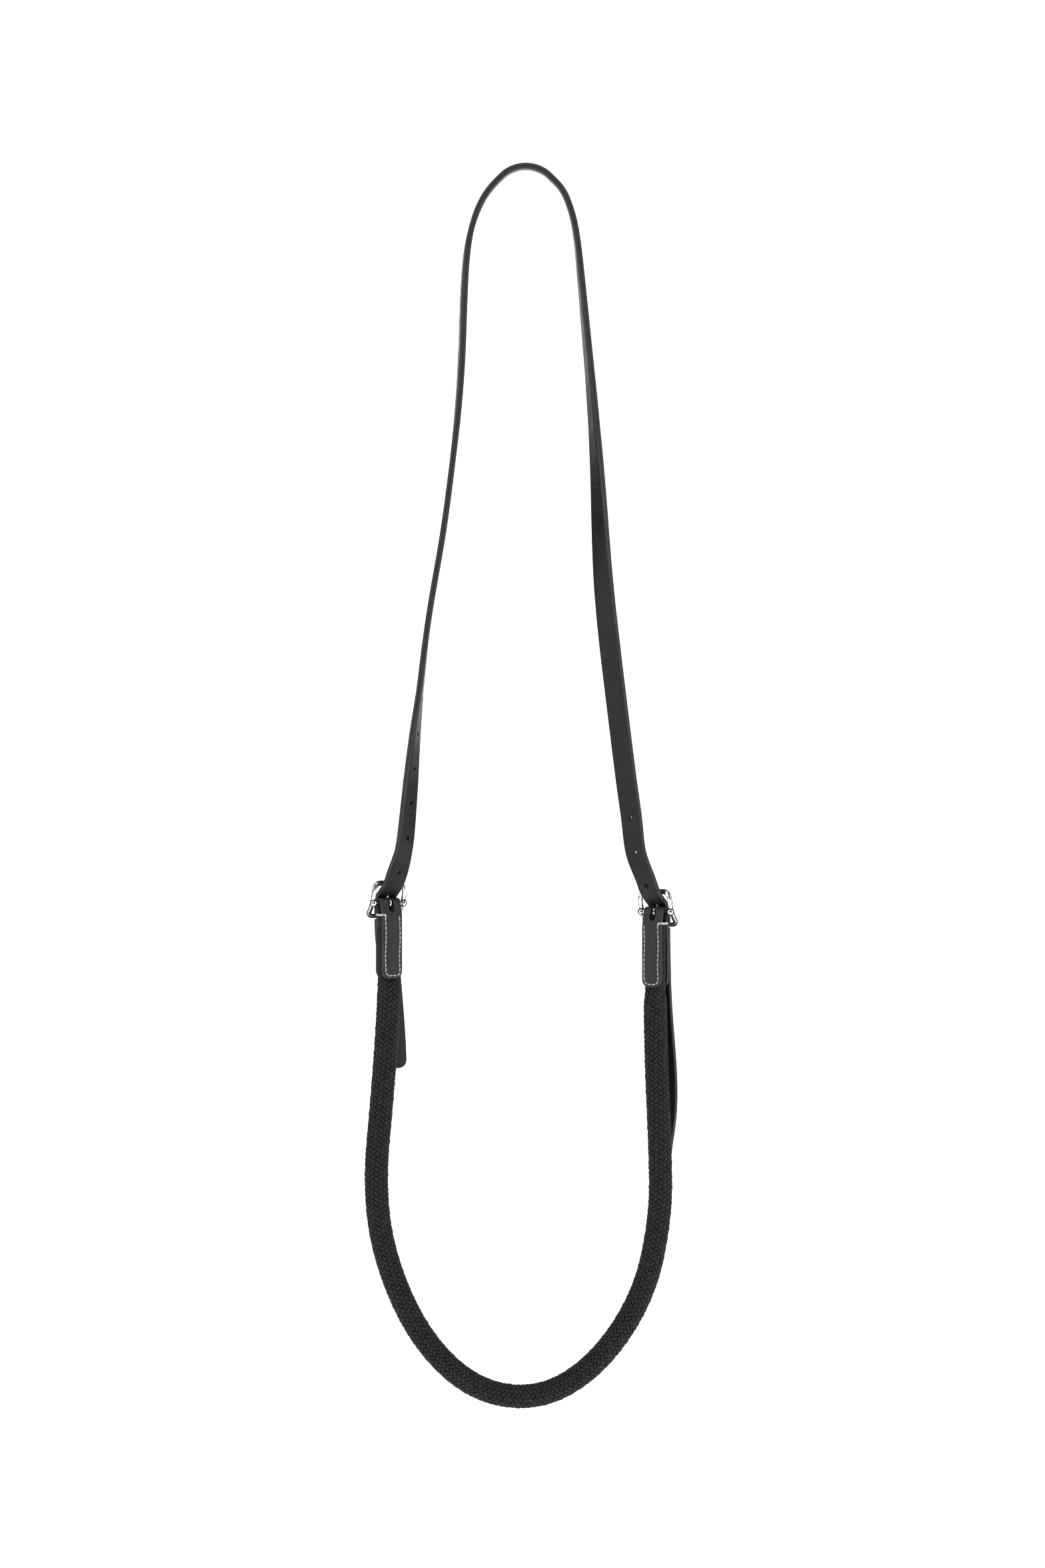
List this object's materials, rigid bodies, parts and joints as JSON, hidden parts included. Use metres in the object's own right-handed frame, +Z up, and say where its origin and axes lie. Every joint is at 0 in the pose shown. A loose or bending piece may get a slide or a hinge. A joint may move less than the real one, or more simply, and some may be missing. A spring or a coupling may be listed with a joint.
{
  "type": "horse neck rein",
  "caption": "Closed leather and rope neck rein: a flat holed strap loop buckled at both ends to a thick braided rope sewn into leather tabs.",
  "frame": {"origin": "the axis of the round bend at the top of the strap, half way across the strap, where a peg or hand holds it", "axes": "+Z up, +X to the right and +Y away from the viewer when the backs of the buckles face the viewer"},
  "size_m": [0.2286, 0.0522, 0.9046],
  "materials": {
    "strap_leather": "black bridle leather, waxed, satin",
    "chape_leather": "black leather, fine grain, satin",
    "buckle_metal": "polished",
    "thread": "waxed thread",
    "rope_fibre": "soft braided fibre",
    "rope_core_fibre": "loose fibre"
  },
  "bodies": {
    "upper_strap": {"strap_loop": "strap_leather"},
    "lower_rein": {"strap_end_left": "strap_leather", "strap_end_right": "strap_leather", "chape_left": "chape_leather", "chape_right": "chape_leather", "chape_stitching_left": "thread", "chape_stitching_right": "thread", "rope_cover": "rope_fibre", "rope_core": "rope_core_fibre", "rope_end_left": "rope_fibre", "rope_end_right": "rope_fibre"},
    "buckle_left": {"buckle_frame_left": "buckle_metal"},
    "tongue_left": {"buckle_tongue_left": "buckle_metal"},
    "tail_left": {"strap_tail_left": "strap_leather"},
    "buckle_right": {"buckle_frame_right": "buckle_metal"},
    "tongue_right": {"buckle_tongue_right": "buckle_metal"},
    "tail_right": {"strap_tail_right": "strap_leather"}
  },
  "joints": [
    {"name": "rein_swing", "type": "hinge", "parent": "upper_strap", "child": "lower_rein", "pos_m": [0, 0.0009, -0.4], "axis": [1, 0, 0], "range_deg": [-35, 35]},
    {"name": "left_buckle_pivot", "type": "hinge", "parent": "lower_rein", "child": "buckle_left", "pos_m": [-0.1, 0.0063, -0.5112], "axis": [0.8829, 0.4695, 0], "range_deg": [-1.5, 1.5]},
    {"name": "left_tongue_pivot", "type": "hinge", "parent": "buckle_left", "child": "tongue_left", "pos_m": [-0.1, 0.0063, -0.5112], "axis": [0.8829, 0.4695, 0], "range_deg": [-2.5, 0]},
    {"name": "left_tail_bend", "type": "hinge", "parent": "lower_rein", "child": "tail_left", "pos_m": [-0.10329, 0.01248, -0.5272], "axis": [0.8829, 0.4695, 0], "range_deg": [0, 70], "stiffness_Nm_per_rad": 0.02},
    {"name": "right_buckle_pivot", "type": "hinge", "parent": "lower_rein", "child": "buckle_right", "pos_m": [0.0947, 0.0063, -0.5175], "axis": [0.8572, -0.515, 0], "range_deg": [-1.5, 1.5]},
    {"name": "right_tongue_pivot", "type": "hinge", "parent": "buckle_right", "child": "tongue_right", "pos_m": [0.0947, 0.0063, -0.5175], "axis": [0.8572, -0.515, 0], "range_deg": [-2.5, 0]},
    {"name": "right_tail_bend", "type": "hinge", "parent": "lower_rein", "child": "tail_right", "pos_m": [0.09831, 0.0123, -0.5335], "axis": [0.8572, -0.515, 0], "range_deg": [0, 70], "stiffness_Nm_per_rad": 0.02}
  ]
}
